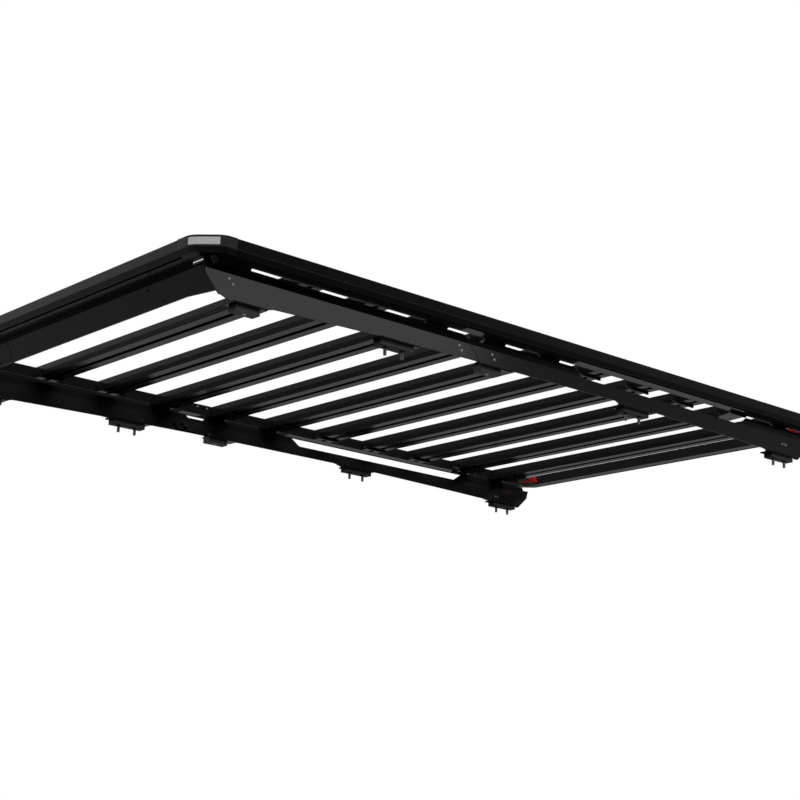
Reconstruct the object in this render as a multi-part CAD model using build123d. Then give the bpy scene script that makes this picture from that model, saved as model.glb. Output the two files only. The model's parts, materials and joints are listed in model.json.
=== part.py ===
from build123d import *
from dataclasses import dataclass
import os

# Flat platform roof rack: a ladder of cross slats in a perimeter frame, on two folded foot rails.
# Frame: +Z up, -X to the front of the vehicle, -Y its left side. The origin lies on the plane of
# the lowest stud tips, under the centre of the tray. All sizes are in millimetres.

# Feet
FOOT_OFFSET = 67.0
FOOT_PAD_WIDTH = 28.0
FOOT_PLATE_WIDTH = 40.0
FOOT_PLATE_SHEET = 4.0
STUD_RADIUS = 4.0
STUD_HOLE_RADIUS = 5.5
STUD_SPACING = 55.0
STUD_LENGTH = 18.9
SEAT_GAP = 0.3


@dataclass(frozen=True)
class Foot:
    """One foot: its centre, the rail tab over it (front, rear, drop below the tray) and its pad."""

    x: float
    tab_front: float
    tab_rear: float
    tab_drop: float
    pad_length: float
    pad_height: float
    studded: bool


FEET = (
    Foot(-1012.0, -1056.0, -962.0, 85.0, 66.0, 15.0, False),
    Foot(-568.5, -630.0, -500.0, 71.0, 106.0, 15.0, True),
    Foot(-253.0, -288.0, -186.0, 67.5, 70.0, 15.0, False),
    Foot(309.0, 252.0, 368.0, 72.5, 106.0, 12.0, True),
    Foot(984.5, 921.0, 1032.0, 83.3, 106.0, 13.5, True),
)

# Tray
TRAY_LENGTH = 2350.0
TRAY_WIDTH = 1296.0
TRAY_UNDERSIDE_Z = (
    FEET[-1].tab_drop + SEAT_GAP + FOOT_PLATE_SHEET + SEAT_GAP + FEET[-1].pad_height + STUD_LENGTH)
PROFILE_WIDTH = 52.0
PROFILE_HEIGHT = 37.1
PROFILE_WALL = 2.4
PROFILE_RIM_WIDTH = 10.0
PROFILE_EDGE = 2.0
PROFILE_FOOT_CHAMFER = 10.5
CORNER_CUT = 55.0
CORNER_ARM_ALONG_SIDE = 88.5
CORNER_ARM_ACROSS = 103.8
CORNER_PLAN_RADIUS = 40.0

# Slats
SLAT_COUNT = 11
FRONT_TO_FIRST_SLAT = 136.9
LAST_SLAT_TO_REAR = 193.1
SLAT_WIDTH = 67.4
SLAT_HEIGHT = 31.2
SLAT_WALL = 2.2
SLAT_FOLD_HEIGHT = 14.3
SLAT_FOLD_DEPTH = 0.8
SLAT_EDGE_CHAMFER = 1.2
SLAT_TOP_CHAMFER = 1.5

# T-slots of the slats, and the hooked slot under the perimeter
SLOT_OPENING = 14.0
SLOT_INNER_WIDTH = 25.0
SLOT_LIP = 2.4
SLOT_DEPTH = 10.5
EDGE_SLOT_START = 11.5
EDGE_SLOT_OPENING = 8.5
EDGE_SLOT_INNER_WIDTH = 15.5

# Foot rails, with drops measured down from the underside of the tray
RAIL_SHEET = 3.0
RAIL_OFFSET = 46.5
RAIL_TOP_DROP = 8.0
RAIL_FOLD_DROP = 29.0
RAIL_LEAN = 8.5
RAIL_LEAN_DROP = 37.0
RAIL_MID_DROP = 64.5
RAIL_ARCH_FRONT_X = -304.0
RAIL_ARCH_REAR_X = 206.0
RAIL_ARCH_REACH = 670.0
RAIL_ARCH_FALL = 14.5
RAIL_ARCH_POWER = 1.35
RAIL_SHOULDER = 26.0
RAIL_FRONT_X = -1141.0
RAIL_REAR_X = 1137.0
RAIL_LOW_TOP_FRONT_X = 66.0
RAIL_LOW_TOP_REAR_X = 784.0
RAIL_LOW_TOP_SLOPE = 18.0
RAIL_LOW_TOP_DROP = 32.0

# Where the two sections of a rail meet, and the plate inside that joins them
JOINT_TOP_X = -356.0
JOINT_BOTTOM_X = -291.0
JOINT_SLIT = 1.0
JOINT_NOTCH_DROP = 17.0
JOINT_NOTCH_REAR_X = -283.0
JOINT_NOTCH_SLOPE = 8.0
SPLICE_FRONT_X = -396.0
SPLICE_REAR_X = -211.0
SPLICE_TOP_DROP = 24.0
SPLICE_BOTTOM_DROP = 62.0

# Ends of the rails
NOSE_FOLD_DROP = 39.0
NOSE_FOLD_RUN = 7.0
NOSE_KNEE_DROP = 50.0
NOSE_KNEE_RUN = 20.0
NOSE_TOE_DROP = 77.0
NOSE_TOE_RUN = 58.0
TAIL_TIP_DROP = 18.0
TAIL_STEP = 31.0
TAIL_KNEE_DROP = 44.0
TAIL_KNEE_RUN = 11.0
TAIL_HEEL_DROP = 87.0
TAIL_HEEL_RUN = 65.0
TAIL_BOTTOM_RUN = 89.0

# Brackets that carry five of the slats on the rails
BRACKET_SHEET = 3.0
BRACKET_SLATS = (3, 4, 5, 9, 10)
BRACKET_FRONT = 50.0
BRACKET_REAR = 21.0
BRACKET_SHELF_OFFSET = 108.0
BRACKET_TONGUE_OFFSET = 147.0
BRACKET_TONGUE_HALF = 31.5
BRACKET_SHIFTED_SLAT = 9
BRACKET_SHIFT = 29.0

# Clips at the ends of the slats
CLIP_SHEET = 5.0
CLIP_OFFSET = 91.0
CLIP_EAR_REACH = 26.0
CLIP_EAR_RISE = 14.5
CLIP_FOOT_DROP = 5.5

# Wind deflector
DEFLECTOR_SHEET = 3.0
DEFLECTOR_END_GAP = 60.0
DEFLECTOR_LIP_RISE = 22.0
DEFLECTOR_NOTCH_LENGTH = 59.0
DEFLECTOR_NOTCH_DROP = 6.0
DEFLECTOR_FOLD_DROP = 12.7
DEFLECTOR_RUN = 37.0
DEFLECTOR_BOTTOM_DROP = 53.0
DEFLECTOR_FLARE_LENGTH = 127.0
DEFLECTOR_FLARE_DROP = 8.0
DEFLECTOR_JOINT_Y = 298.0
DEFLECTOR_JOINT_SLANT = 30.0
DEFLECTOR_JOINT_BEND_DROP = 28.0
DEFLECTOR_SLIT = 2.5
DEFLECTOR_BRACKET_Y = 363.0
DEFLECTOR_BRACKET_WIDTH = 66.0

# Bare plate let into the front left corner
PLATE_SHEET = 1.2
PLATE_BOTTOM_RISE = 15.0
PLATE_TOP_RISE = 32.0
PLATE_REACH_ACROSS = 63.0
PLATE_REACH_ALONG_SIDE = 47.5

# Tabs inside the rear corners
TAB_DEPTH = 22.0
TAB_THICKNESS = 4.0
TAB_LENGTH = 73.0
TAB_NECK = 55.0
TAB_WIDTH = 20.0
TAB_BOTTOM_RISE = 3.3
TAB_TOP_RISE = 23.0
TAB_ARM_RISE = 13.0
TAB_ARM_WIDTH = 4.0


def front_x():
    return -TRAY_LENGTH / 2


def half_width():
    return TRAY_WIDTH / 2


def slat_pitch():
    return (TRAY_LENGTH - FRONT_TO_FIRST_SLAT - LAST_SLAT_TO_REAR) / (SLAT_COUNT - 1)


def slat_x(index):
    return front_x() + FRONT_TO_FIRST_SLAT + index * slat_pitch()


def outline(points):
    return make_face(Polyline(*points, points[0]))


def below_tray(points):
    """Turn drops under the tray into heights."""
    return outline([(across, TRAY_UNDERSIDE_Z - drop) for across, drop in points])


def side_prism(face):
    """Carry an outline drawn in side view (x, z) across the whole width."""
    return extrude(Plane(origin=(0, TRAY_WIDTH, 0), x_dir=(1, 0, 0), z_dir=(0, -1, 0)) * face,
                   amount=2 * TRAY_WIDTH)


def front_prism(face):
    """Carry an outline drawn in rear view (y, z) along the whole length."""
    return extrude(Plane(origin=(-TRAY_LENGTH, 0, 0), x_dir=(0, 1, 0), z_dir=(1, 0, 0)) * face,
                   amount=2 * TRAY_LENGTH)


def on_side(shape, side):
    """Shapes are made on the right; side -1 gives the left one."""
    return shape if side > 0 else mirror(shape, about=Plane.XZ)


def slot_cutter(mouth_z, sign):
    """T-slot outline in the section plane, open at mouth_z and reaching along sign."""
    half_mouth = SLOT_OPENING / 2
    half_inner = SLOT_INNER_WIDTH / 2
    lip_z = mouth_z + sign * SLOT_LIP
    floor_z = mouth_z + sign * SLOT_DEPTH
    over_z = mouth_z - sign
    return outline([
        (-half_mouth, over_z), (-half_mouth, lip_z), (-half_inner, lip_z), (-half_inner, floor_z),
        (half_inner, floor_z), (half_inner, lip_z), (half_mouth, lip_z), (half_mouth, over_z),
    ])


def slat_section():
    """Extrusion with a faint fold in each side face, a T-slot above and below and three chambers."""
    half = SLAT_WIDTH / 2
    waist = half - SLAT_FOLD_DEPTH
    foot = half - SLAT_EDGE_CHAMFER
    top = half - SLAT_TOP_CHAMFER
    right = [
        (foot, 0), (waist, SLAT_EDGE_CHAMFER), (half, SLAT_FOLD_HEIGHT),
        (half, SLAT_HEIGHT - SLAT_TOP_CHAMFER), (top, SLAT_HEIGHT),
    ]
    left = [(-x, z) for x, z in reversed(right)]
    slot_wall = SLOT_INNER_WIDTH / 2 + SLAT_WALL
    side_width = waist - SLAT_WALL - slot_wall
    side_height = SLAT_HEIGHT - 2 * SLAT_EDGE_CHAMFER - SLAT_WALL
    core_height = SLAT_HEIGHT - 2 * SLOT_DEPTH - 2 * SLAT_WALL
    section = outline(right + left) - slot_cutter(0, 1) - slot_cutter(SLAT_HEIGHT, -1)
    section -= Pos(0, SLAT_HEIGHT / 2) * Rectangle(SLOT_INNER_WIDTH, core_height)
    for side in (-1, 1):
        section -= Pos(side * (slot_wall + side_width / 2), SLAT_HEIGHT / 2) * Rectangle(
            side_width, side_height)
    return section


def perimeter_section():
    """Edge profile: outer face at x = 0, a raised rim above the slats and a hooked slot below."""
    rim_foot = PROFILE_RIM_WIDTH + PROFILE_HEIGHT - SLAT_HEIGHT
    slot_end = EDGE_SLOT_START + EDGE_SLOT_OPENING
    slot_back = EDGE_SLOT_START + EDGE_SLOT_INNER_WIDTH
    chamber_bottom = SLOT_DEPTH + PROFILE_WALL
    body = outline([
        (PROFILE_FOOT_CHAMFER, 0), (0, PROFILE_FOOT_CHAMFER),
        (0, PROFILE_HEIGHT - PROFILE_EDGE), (PROFILE_EDGE, PROFILE_HEIGHT),
        (PROFILE_RIM_WIDTH, PROFILE_HEIGHT), (rim_foot, SLAT_HEIGHT),
        (PROFILE_WIDTH, SLAT_HEIGHT), (PROFILE_WIDTH, 0),
    ])
    slot = outline([
        (EDGE_SLOT_START, -1), (EDGE_SLOT_START, SLOT_DEPTH), (slot_back, SLOT_DEPTH),
        (slot_back, SLOT_LIP), (slot_end, SLOT_LIP), (slot_end, -1),
    ])
    chamber = outline([
        (PROFILE_WALL, chamber_bottom), (PROFILE_WALL, SLAT_HEIGHT - PROFILE_WALL),
        (PROFILE_WIDTH - PROFILE_WALL, SLAT_HEIGHT - PROFILE_WALL),
        (PROFILE_WIDTH - PROFILE_WALL, PROFILE_WALL), (slot_back + PROFILE_WALL, PROFILE_WALL),
        (slot_back + PROFILE_WALL, chamber_bottom),
    ])
    return body - slot - chamber


def slat(index):
    length = TRAY_WIDTH - 2 * PROFILE_WIDTH - 2 * SEAT_GAP
    plane = Plane(origin=(slat_x(index), length / 2, TRAY_UNDERSIDE_Z), x_dir=(1, 0, 0), z_dir=(0, -1, 0))
    return extrude(plane * slat_section(), amount=length)


def cross_profile(sign):
    """Front (sign -1) or rear (sign 1) profile between the corner castings."""
    length = TRAY_WIDTH - 2 * CORNER_ARM_ACROSS
    plane = Plane(
        origin=(sign * TRAY_LENGTH / 2, sign * -length / 2, TRAY_UNDERSIDE_Z),
        x_dir=(-sign, 0, 0), z_dir=(0, sign, 0))
    return extrude(plane * perimeter_section(), amount=length)


def side_profile(sign):
    """Left (sign -1) or right (sign 1) profile between the corner castings."""
    length = TRAY_LENGTH - 2 * CORNER_ARM_ALONG_SIDE
    plane = Plane(
        origin=(sign * length / 2, sign * TRAY_WIDTH / 2, TRAY_UNDERSIDE_Z),
        x_dir=(0, -sign, 0), z_dir=(-sign, 0, 0))
    return extrude(plane * perimeter_section(), amount=length)


def corner_blank(inset, side_arm, cross_arm, z, height):
    """Rear right corner in plan, with its outer boundary moved inwards by inset."""
    x_out = TRAY_LENGTH / 2 - inset
    y_out = TRAY_WIDTH / 2 - inset
    cut = CORNER_CUT - inset * (2 - 2 ** 0.5)
    x_in = TRAY_LENGTH / 2 - PROFILE_WIDTH
    y_in = TRAY_WIDTH / 2 - PROFILE_WIDTH
    x_arm = TRAY_LENGTH / 2 - side_arm
    y_arm = TRAY_WIDTH / 2 - cross_arm
    plan = outline([
        (x_arm, y_out), (x_out - cut, y_out), (x_out, y_out - cut), (x_out, y_arm),
        (x_in, y_arm), (x_in, y_in), (x_arm, y_in),
    ])
    blank = extrude(Pos(0, 0, z) * plan, amount=height)
    bends = [
        edge for edge in blank.edges().filter_by(Axis.Z)
        if edge.center().X > x_out - cut - 1 and edge.center().Y > y_out - cut - 1
        and edge.center().X + edge.center().Y > x_out + y_out - cut - 1
    ]
    return fillet(bends, CORNER_PLAN_RADIUS - inset)


def corner_casting(sign_x, sign_y):
    """Corner with two arms, a 45 degree face, a sloped lower edge and the rim of the profiles."""
    side_arm = CORNER_ARM_ALONG_SIDE - SEAT_GAP
    cross_arm = CORNER_ARM_ACROSS - SEAT_GAP
    casting = corner_blank(0, side_arm, cross_arm, TRAY_UNDERSIDE_Z, PROFILE_HEIGHT)
    lower = [
        edge for edge in casting.edges().group_by(Axis.Z)[0]
        if edge.center().X > TRAY_LENGTH / 2 - CORNER_CUT or edge.center().Y > TRAY_WIDTH / 2 - CORNER_CUT
    ]
    outer = [
        edge for edge in lower
        if max(edge.center().X - TRAY_LENGTH / 2, edge.center().Y - TRAY_WIDTH / 2) > -CORNER_CUT / 2
        and min(edge.center().X - TRAY_LENGTH / 2 + side_arm, edge.center().Y - TRAY_WIDTH / 2 + cross_arm) > 1
    ]
    casting = chamfer(outer, PROFILE_FOOT_CHAMFER)
    deck = corner_blank(PROFILE_RIM_WIDTH, side_arm + 1, cross_arm + 1,
                        TRAY_UNDERSIDE_Z + SLAT_HEIGHT, PROFILE_HEIGHT)
    casting -= deck
    if sign_x < 0:
        casting = mirror(casting, about=Plane.YZ)
    return on_side(casting, sign_y)


def corner_band(outer_inset, inner_inset, margin):
    """Band round the front left corner between two insets, grown by margin at its four edges."""
    height = PLATE_TOP_RISE - PLATE_BOTTOM_RISE + 2 * margin
    z = TRAY_UNDERSIDE_Z + PLATE_BOTTOM_RISE - margin
    along_side = PLATE_REACH_ALONG_SIDE + margin
    across = PLATE_REACH_ACROSS + margin
    band = corner_blank(outer_inset, CORNER_ARM_ALONG_SIDE, CORNER_ARM_ACROSS, z, height)
    band -= corner_blank(inner_inset, CORNER_ARM_ALONG_SIDE + 1, CORNER_ARM_ACROSS + 1, z - 1, height + 2)
    window = Pos(TRAY_LENGTH / 2, TRAY_WIDTH / 2, z) * Box(2 * along_side, 2 * across, 4 * height)
    return mirror(mirror(band & window, about=Plane.YZ), about=Plane.XZ)


def corner_plate():
    return corner_band(0, PLATE_SHEET, 0)


def plate_recess():
    return corner_band(-1, PLATE_SHEET + SEAT_GAP, SEAT_GAP)


def rail_edge_drop(x):
    """Drop of the rail's lower edge, which arches along the roof line."""
    beyond = max(RAIL_ARCH_FRONT_X - x, x - RAIL_ARCH_REAR_X, 0.0)
    return RAIL_MID_DROP + RAIL_ARCH_FALL * (beyond / RAIL_ARCH_REACH) ** RAIL_ARCH_POWER


def folded_sheet(side_view, inset, sheet):
    """Sheet with an upright upper band and a lower band that leans inwards, cut to side_view."""
    depth = TRAY_UNDERSIDE_Z - RAIL_FOLD_DROP
    outer_y = half_width() - RAIL_OFFSET - inset
    low_y = outer_y - RAIL_LEAN * depth / RAIL_LEAN_DROP
    section = outline([
        (outer_y, TRAY_UNDERSIDE_Z), (outer_y - sheet, TRAY_UNDERSIDE_Z),
        (outer_y - sheet, depth), (low_y - sheet, 0), (low_y, 0), (outer_y, depth),
    ])
    return front_prism(section) & side_prism(side_view)


def lower_edge(x_from, x_to, feet):
    """Points of the lower edge from x_from to x_to, with a tab at each of the given feet."""
    steps = 12
    points = []
    for step in range(steps + 1):
        x = x_from + (x_to - x_from) * step / steps
        if all(not foot.tab_front - RAIL_SHOULDER < x < foot.tab_rear + RAIL_SHOULDER for foot in feet):
            points.append((x, rail_edge_drop(x)))
    for foot in feet:
        front = foot.tab_front - RAIL_SHOULDER
        rear = foot.tab_rear + RAIL_SHOULDER
        if front > x_from:
            points.append((front, rail_edge_drop(front)))
        points += [(foot.tab_front, foot.tab_drop), (foot.tab_rear, foot.tab_drop)]
        if rear < x_to:
            points.append((rear, rail_edge_drop(rear)))
    return sorted(points)


def rail_front(side):
    """Front section: a nose that slopes to the first foot, and a slanted joint at its rear."""
    nose = [
        (RAIL_FRONT_X, RAIL_TOP_DROP), (RAIL_FRONT_X, TAIL_TIP_DROP),
        (RAIL_FRONT_X + NOSE_FOLD_RUN, NOSE_FOLD_DROP), (RAIL_FRONT_X + NOSE_KNEE_RUN, NOSE_KNEE_DROP),
        (RAIL_FRONT_X + NOSE_TOE_RUN - NOSE_FOLD_RUN, NOSE_TOE_DROP - SEAT_GAP),
        (RAIL_FRONT_X + NOSE_TOE_RUN, NOSE_TOE_DROP),
    ]
    points = nose + lower_edge(FEET[0].tab_front - 2, JOINT_BOTTOM_X, FEET[:2])
    points += [(JOINT_TOP_X, RAIL_TOP_DROP)]
    return on_side(folded_sheet(below_tray(points), 0, RAIL_SHEET), side)


def joint_x(drop):
    """Front end of the rear section at a given drop, one slit behind the front section."""
    share = (drop - RAIL_TOP_DROP) / (RAIL_MID_DROP - RAIL_TOP_DROP)
    return JOINT_TOP_X + JOINT_SLIT + (JOINT_BOTTOM_X - JOINT_TOP_X) * share


def rail_rear(side):
    """Rear section: its top edge is cut low in the middle, and its tail slopes up."""
    tail_bottom_x = RAIL_REAR_X - TAIL_BOTTOM_RUN
    points = [(joint_x(JOINT_NOTCH_DROP), JOINT_NOTCH_DROP),
              (joint_x(FEET[2].tab_drop), FEET[2].tab_drop)]
    points += [point for point in lower_edge(FEET[2].tab_front, tail_bottom_x, FEET[2:])
               if point[0] > FEET[2].tab_front]
    points += [
        (RAIL_REAR_X - TAIL_HEEL_RUN - TAIL_KNEE_RUN, TAIL_HEEL_DROP),
        (RAIL_REAR_X - TAIL_HEEL_RUN, TAIL_HEEL_DROP), (RAIL_REAR_X - TAIL_KNEE_RUN, TAIL_KNEE_DROP),
        (RAIL_REAR_X, TAIL_TIP_DROP), (RAIL_REAR_X - TAIL_STEP + TAIL_KNEE_RUN / 2, TAIL_TIP_DROP),
        (RAIL_REAR_X - TAIL_STEP, RAIL_TOP_DROP),
        (RAIL_LOW_TOP_REAR_X + RAIL_LOW_TOP_SLOPE, RAIL_TOP_DROP),
        (RAIL_LOW_TOP_REAR_X - RAIL_LOW_TOP_SLOPE, RAIL_LOW_TOP_DROP),
        (RAIL_LOW_TOP_FRONT_X + RAIL_LOW_TOP_SLOPE, RAIL_LOW_TOP_DROP),
        (RAIL_LOW_TOP_FRONT_X - RAIL_LOW_TOP_SLOPE, RAIL_TOP_DROP),
        (JOINT_NOTCH_REAR_X, RAIL_TOP_DROP), (JOINT_NOTCH_REAR_X - JOINT_NOTCH_SLOPE, JOINT_NOTCH_DROP),
    ]
    return on_side(folded_sheet(below_tray(points), 0, RAIL_SHEET), side)


def rail_splice(side):
    """Plate with rounded ends against the inner face of the rail, across the joint."""
    radius = (SPLICE_BOTTOM_DROP - SPLICE_TOP_DROP) / 2
    centre = Pos((SPLICE_FRONT_X + SPLICE_REAR_X) / 2, TRAY_UNDERSIDE_Z - SPLICE_TOP_DROP - radius)
    shape = centre * RectangleRounded(SPLICE_REAR_X - SPLICE_FRONT_X, 2 * radius, radius - 1)
    return on_side(folded_sheet(shape, RAIL_SHEET + SEAT_GAP, RAIL_SHEET), side)


def slat_brackets(side):
    """Angles under five slats: a leg on the rail's top edge and a shelf with a tongue under the slat."""
    outer_y = half_width() - RAIL_OFFSET
    step_y = half_width() - BRACKET_SHELF_OFFSET
    tongue_y = half_width() - BRACKET_TONGUE_OFFSET
    shelf_z = TRAY_UNDERSIDE_Z - SEAT_GAP - BRACKET_SHEET
    leg_height = RAIL_TOP_DROP - 2 * SEAT_GAP
    leg_width = BRACKET_FRONT + BRACKET_REAR
    brackets = []
    for index in BRACKET_SLATS:
        x = slat_x(index) + (BRACKET_SHIFT if index == BRACKET_SHIFTED_SLAT and side > 0 else 0)
        plan = outline([
            (x - BRACKET_FRONT, outer_y), (x + BRACKET_REAR, outer_y),
            (x + BRACKET_TONGUE_HALF, step_y), (x + BRACKET_TONGUE_HALF, tongue_y),
            (x - BRACKET_TONGUE_HALF, tongue_y), (x - BRACKET_TONGUE_HALF, step_y),
        ])
        leg = Pos(x + BRACKET_REAR - leg_width / 2, outer_y - BRACKET_SHEET / 2,
                  TRAY_UNDERSIDE_Z - SEAT_GAP - leg_height / 2) * Box(leg_width, BRACKET_SHEET, leg_height)
        brackets.append(extrude(Pos(0, 0, shelf_z) * plan, amount=BRACKET_SHEET) + leg)
    return on_side(Compound(children=brackets), side)


def slat_clips(side):
    """Clip at the end of each slat: an ear in front of it, and a foot below where no bracket is."""
    front = SLAT_WIDTH / 2 + SEAT_GAP
    clip_y = half_width() - CLIP_OFFSET - CLIP_SHEET / 2
    clips = []
    for index in range(SLAT_COUNT):
        x = slat_x(index)
        ear = [(x - front, -CLIP_EAR_RISE), (x - front - CLIP_EAR_REACH, -CLIP_EAR_RISE)]
        if index in BRACKET_SLATS:
            shape = ear + [(x - front - CLIP_EAR_REACH, 0), (x - front, 0)]
        else:
            shape = ear + [
                (x - front - CLIP_EAR_REACH, SEAT_GAP), (x - front, CLIP_FOOT_DROP),
                (x + front, CLIP_FOOT_DROP), (x + front, SEAT_GAP), (x - front, SEAT_GAP),
            ]
        sheet = Pos(x, clip_y, TRAY_UNDERSIDE_Z) * Box(TRAY_WIDTH, CLIP_SHEET, TRAY_WIDTH)
        clips.append(side_prism(below_tray(shape)) & sheet)
    return on_side(Compound(children=clips), side)


def foot_y(side):
    return side * (half_width() - FOOT_OFFSET)


def stud_offsets():
    return (-STUD_SPACING / 2, STUD_SPACING / 2)


def foot_plates(side):
    """The five steel plates under the rail's tabs, on studded feet with two welded studs each."""
    plates = []
    for foot in FEET:
        seat_z = TRAY_UNDERSIDE_Z - foot.tab_drop - SEAT_GAP
        under_z = seat_z - FOOT_PLATE_SHEET
        length = foot.tab_rear - foot.tab_front
        plate = Pos((foot.tab_front + foot.tab_rear) / 2, foot_y(side), (seat_z + under_z) / 2) * Box(
            length, FOOT_PLATE_WIDTH, FOOT_PLATE_SHEET)
        if foot.studded:
            reach = SEAT_GAP + foot.pad_height + STUD_LENGTH
            for offset in stud_offsets():
                plate += Pos(foot.x + offset, foot_y(side), under_z - reach / 2) * Cylinder(
                    STUD_RADIUS, reach)
        plates.append(plate)
    return Compound(children=plates)


def foot_pad(side, foot):
    top_z = TRAY_UNDERSIDE_Z - foot.tab_drop - 2 * SEAT_GAP - FOOT_PLATE_SHEET
    pad = Pos(foot.x, foot_y(side), top_z - foot.pad_height / 2) * Box(
        foot.pad_length, FOOT_PAD_WIDTH, foot.pad_height)
    if foot.studded:
        for offset in stud_offsets():
            pad -= Pos(foot.x + offset, foot_y(side), top_z) * Cylinder(
                STUD_HOLE_RADIUS, 4 * foot.pad_height)
    return pad


def deflector_strip(inset, sheet, lip_rise, bottom_drop):
    """Prism across the width: an upright lip behind the front profile and a plate that leans back."""
    lip_x = front_x() + PROFILE_WIDTH + SEAT_GAP
    drop = DEFLECTOR_BOTTOM_DROP - DEFLECTOR_FOLD_DROP
    slope = (DEFLECTOR_RUN ** 2 + drop ** 2) ** 0.5
    normal_x = drop / slope
    normal_z = DEFLECTOR_RUN / slope
    run = DEFLECTOR_RUN * (bottom_drop - DEFLECTOR_FOLD_DROP) / drop
    bend_z = normal_z / (1 + normal_x)

    def offset_line(distance):
        return [
            (lip_x + distance, -lip_rise),
            (lip_x + distance, DEFLECTOR_FOLD_DROP - distance * bend_z),
            (lip_x + run + distance * normal_x, bottom_drop - distance * normal_z),
        ]

    return side_prism(below_tray(offset_line(inset) + offset_line(inset + sheet)[::-1]))


def deflector_joint(shift):
    """Line across the deflector where its two parts meet, as (y, drop)."""
    y = DEFLECTOR_JOINT_Y + shift
    return [
        (y, -DEFLECTOR_LIP_RISE - 1), (y, DEFLECTOR_JOINT_BEND_DROP),
        (y + DEFLECTOR_JOINT_SLANT, DEFLECTOR_BOTTOM_DROP + 1),
        (y + DEFLECTOR_JOINT_SLANT, DEFLECTOR_BOTTOM_DROP + 2 * DEFLECTOR_FLARE_DROP),
    ]


def wind_deflector(part_side):
    """Left part (part_side -1) or the shorter right part of the deflector, split at the joint."""
    end_y = half_width() - DEFLECTOR_END_GAP
    notch_y = end_y - DEFLECTOR_NOTCH_LENGTH
    flare_y = end_y - DEFLECTOR_FLARE_LENGTH
    low_drop = DEFLECTOR_BOTTOM_DROP + DEFLECTOR_FLARE_DROP
    half = [
        (notch_y, -DEFLECTOR_LIP_RISE), (notch_y, DEFLECTOR_NOTCH_DROP), (end_y, DEFLECTOR_NOTCH_DROP),
        (end_y, low_drop), (flare_y, DEFLECTOR_BOTTOM_DROP),
    ]
    other = [(-y, drop) for y, drop in reversed(half)]
    shape = deflector_strip(0, DEFLECTOR_SHEET, DEFLECTOR_LIP_RISE, low_drop + 1)
    shape &= front_prism(below_tray(half + other))
    line = deflector_joint(part_side * DEFLECTOR_SLIT / 2)
    far_y = part_side * TRAY_WIDTH
    keep = below_tray(line + [(far_y, line[-1][1]), (far_y, line[0][1])])
    return shape & front_prism(keep)


def deflector_brackets():
    """Strips behind the deflector, bent like it, one on each side."""
    strip = deflector_strip(DEFLECTOR_SHEET + SEAT_GAP, DEFLECTOR_SHEET, DEFLECTOR_LIP_RISE,
                            DEFLECTOR_BOTTOM_DROP - 2)
    pieces = []
    for side in (-1, 1):
        window = Pos(front_x(), side * DEFLECTOR_BRACKET_Y, TRAY_UNDERSIDE_Z) * Box(
            TRAY_WIDTH, DEFLECTOR_BRACKET_WIDTH, TRAY_WIDTH)
        pieces.append(strip & window)
    return Compound(children=pieces)


def corner_tabs():
    """Slanted tab with a thin arm in each rear corner, against the inner face of the rear profile."""
    inner_x = TRAY_LENGTH / 2 - PROFILE_WIDTH - SEAT_GAP
    side_y = half_width() - PROFILE_WIDTH - SEAT_GAP
    lean = TAB_TOP_RISE - TAB_BOTTOM_RISE
    front = below_tray([
        (side_y, -TAB_ARM_RISE), (side_y - TAB_NECK + lean / 2, -TAB_ARM_RISE + TAB_ARM_WIDTH),
        (side_y - TAB_LENGTH + TAB_WIDTH + lean, -TAB_TOP_RISE),
        (side_y - TAB_LENGTH + lean, -TAB_TOP_RISE),
        (side_y - TAB_LENGTH, -TAB_BOTTOM_RISE), (side_y - TAB_NECK, -TAB_BOTTOM_RISE),
        (side_y, -TAB_ARM_RISE + TAB_ARM_WIDTH),
    ])
    shape = front_prism(front)
    plate = shape & Pos(inner_x - TAB_DEPTH + TAB_THICKNESS / 2, 0, TRAY_UNDERSIDE_Z) * Box(
        TAB_THICKNESS, TRAY_WIDTH, TRAY_WIDTH)
    stem = shape & Pos(inner_x - TAB_DEPTH / 2, side_y - TAB_NECK + TAB_THICKNESS, TRAY_UNDERSIDE_Z) * Box(
        TAB_DEPTH, 2 * TAB_THICKNESS, TRAY_WIDTH)
    tab = plate + stem
    return Compound(children=[tab, mirror(tab, about=Plane.XZ)])


def build():
    nodes = {
        "front_profile": cross_profile(-1),
        "rear_profile": cross_profile(1),
        "left_side_profile": side_profile(-1),
        "right_side_profile": side_profile(1),
        "front_left_corner": corner_casting(-1, -1) - plate_recess(),
        "front_right_corner": corner_casting(-1, 1),
        "rear_left_corner": corner_casting(1, -1),
        "rear_right_corner": corner_casting(1, 1),
        "corner_plate": corner_plate(),
        "wind_deflector_left": wind_deflector(-1),
        "wind_deflector_right": wind_deflector(1),
        "deflector_brackets": deflector_brackets(),
        "corner_tabs": corner_tabs(),
    }
    for index in range(SLAT_COUNT):
        nodes[f"slat_{index + 1:02d}"] = slat(index)
    for name, side in (("left", -1), ("right", 1)):
        nodes[f"{name}_rail_front"] = rail_front(side)
        nodes[f"{name}_rail_rear"] = rail_rear(side)
        nodes[f"{name}_rail_splice"] = rail_splice(side)
        nodes[f"{name}_slat_brackets"] = slat_brackets(side)
        nodes[f"{name}_slat_clips"] = slat_clips(side)
        nodes[f"{name}_foot_plates"] = foot_plates(side)
        for number, foot in enumerate(FEET, start=1):
            nodes[f"{name}_foot_pad_{number}"] = foot_pad(side, foot)
    return nodes


os.makedirs("parts", exist_ok=True)
for node_name, shape in build().items():
    export_step(shape, f"parts/{node_name}.step")
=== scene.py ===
"""Looks of a flat platform roof rack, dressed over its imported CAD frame.

Lengths are in millimetres unless a docstring says metres. X runs to the rear of the vehicle,
Y to its right side and Z up.
"""

import json
import logging
import math
from dataclasses import dataclass
from enum import Enum

import bpy
from mathutils import Matrix, Vector


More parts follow.
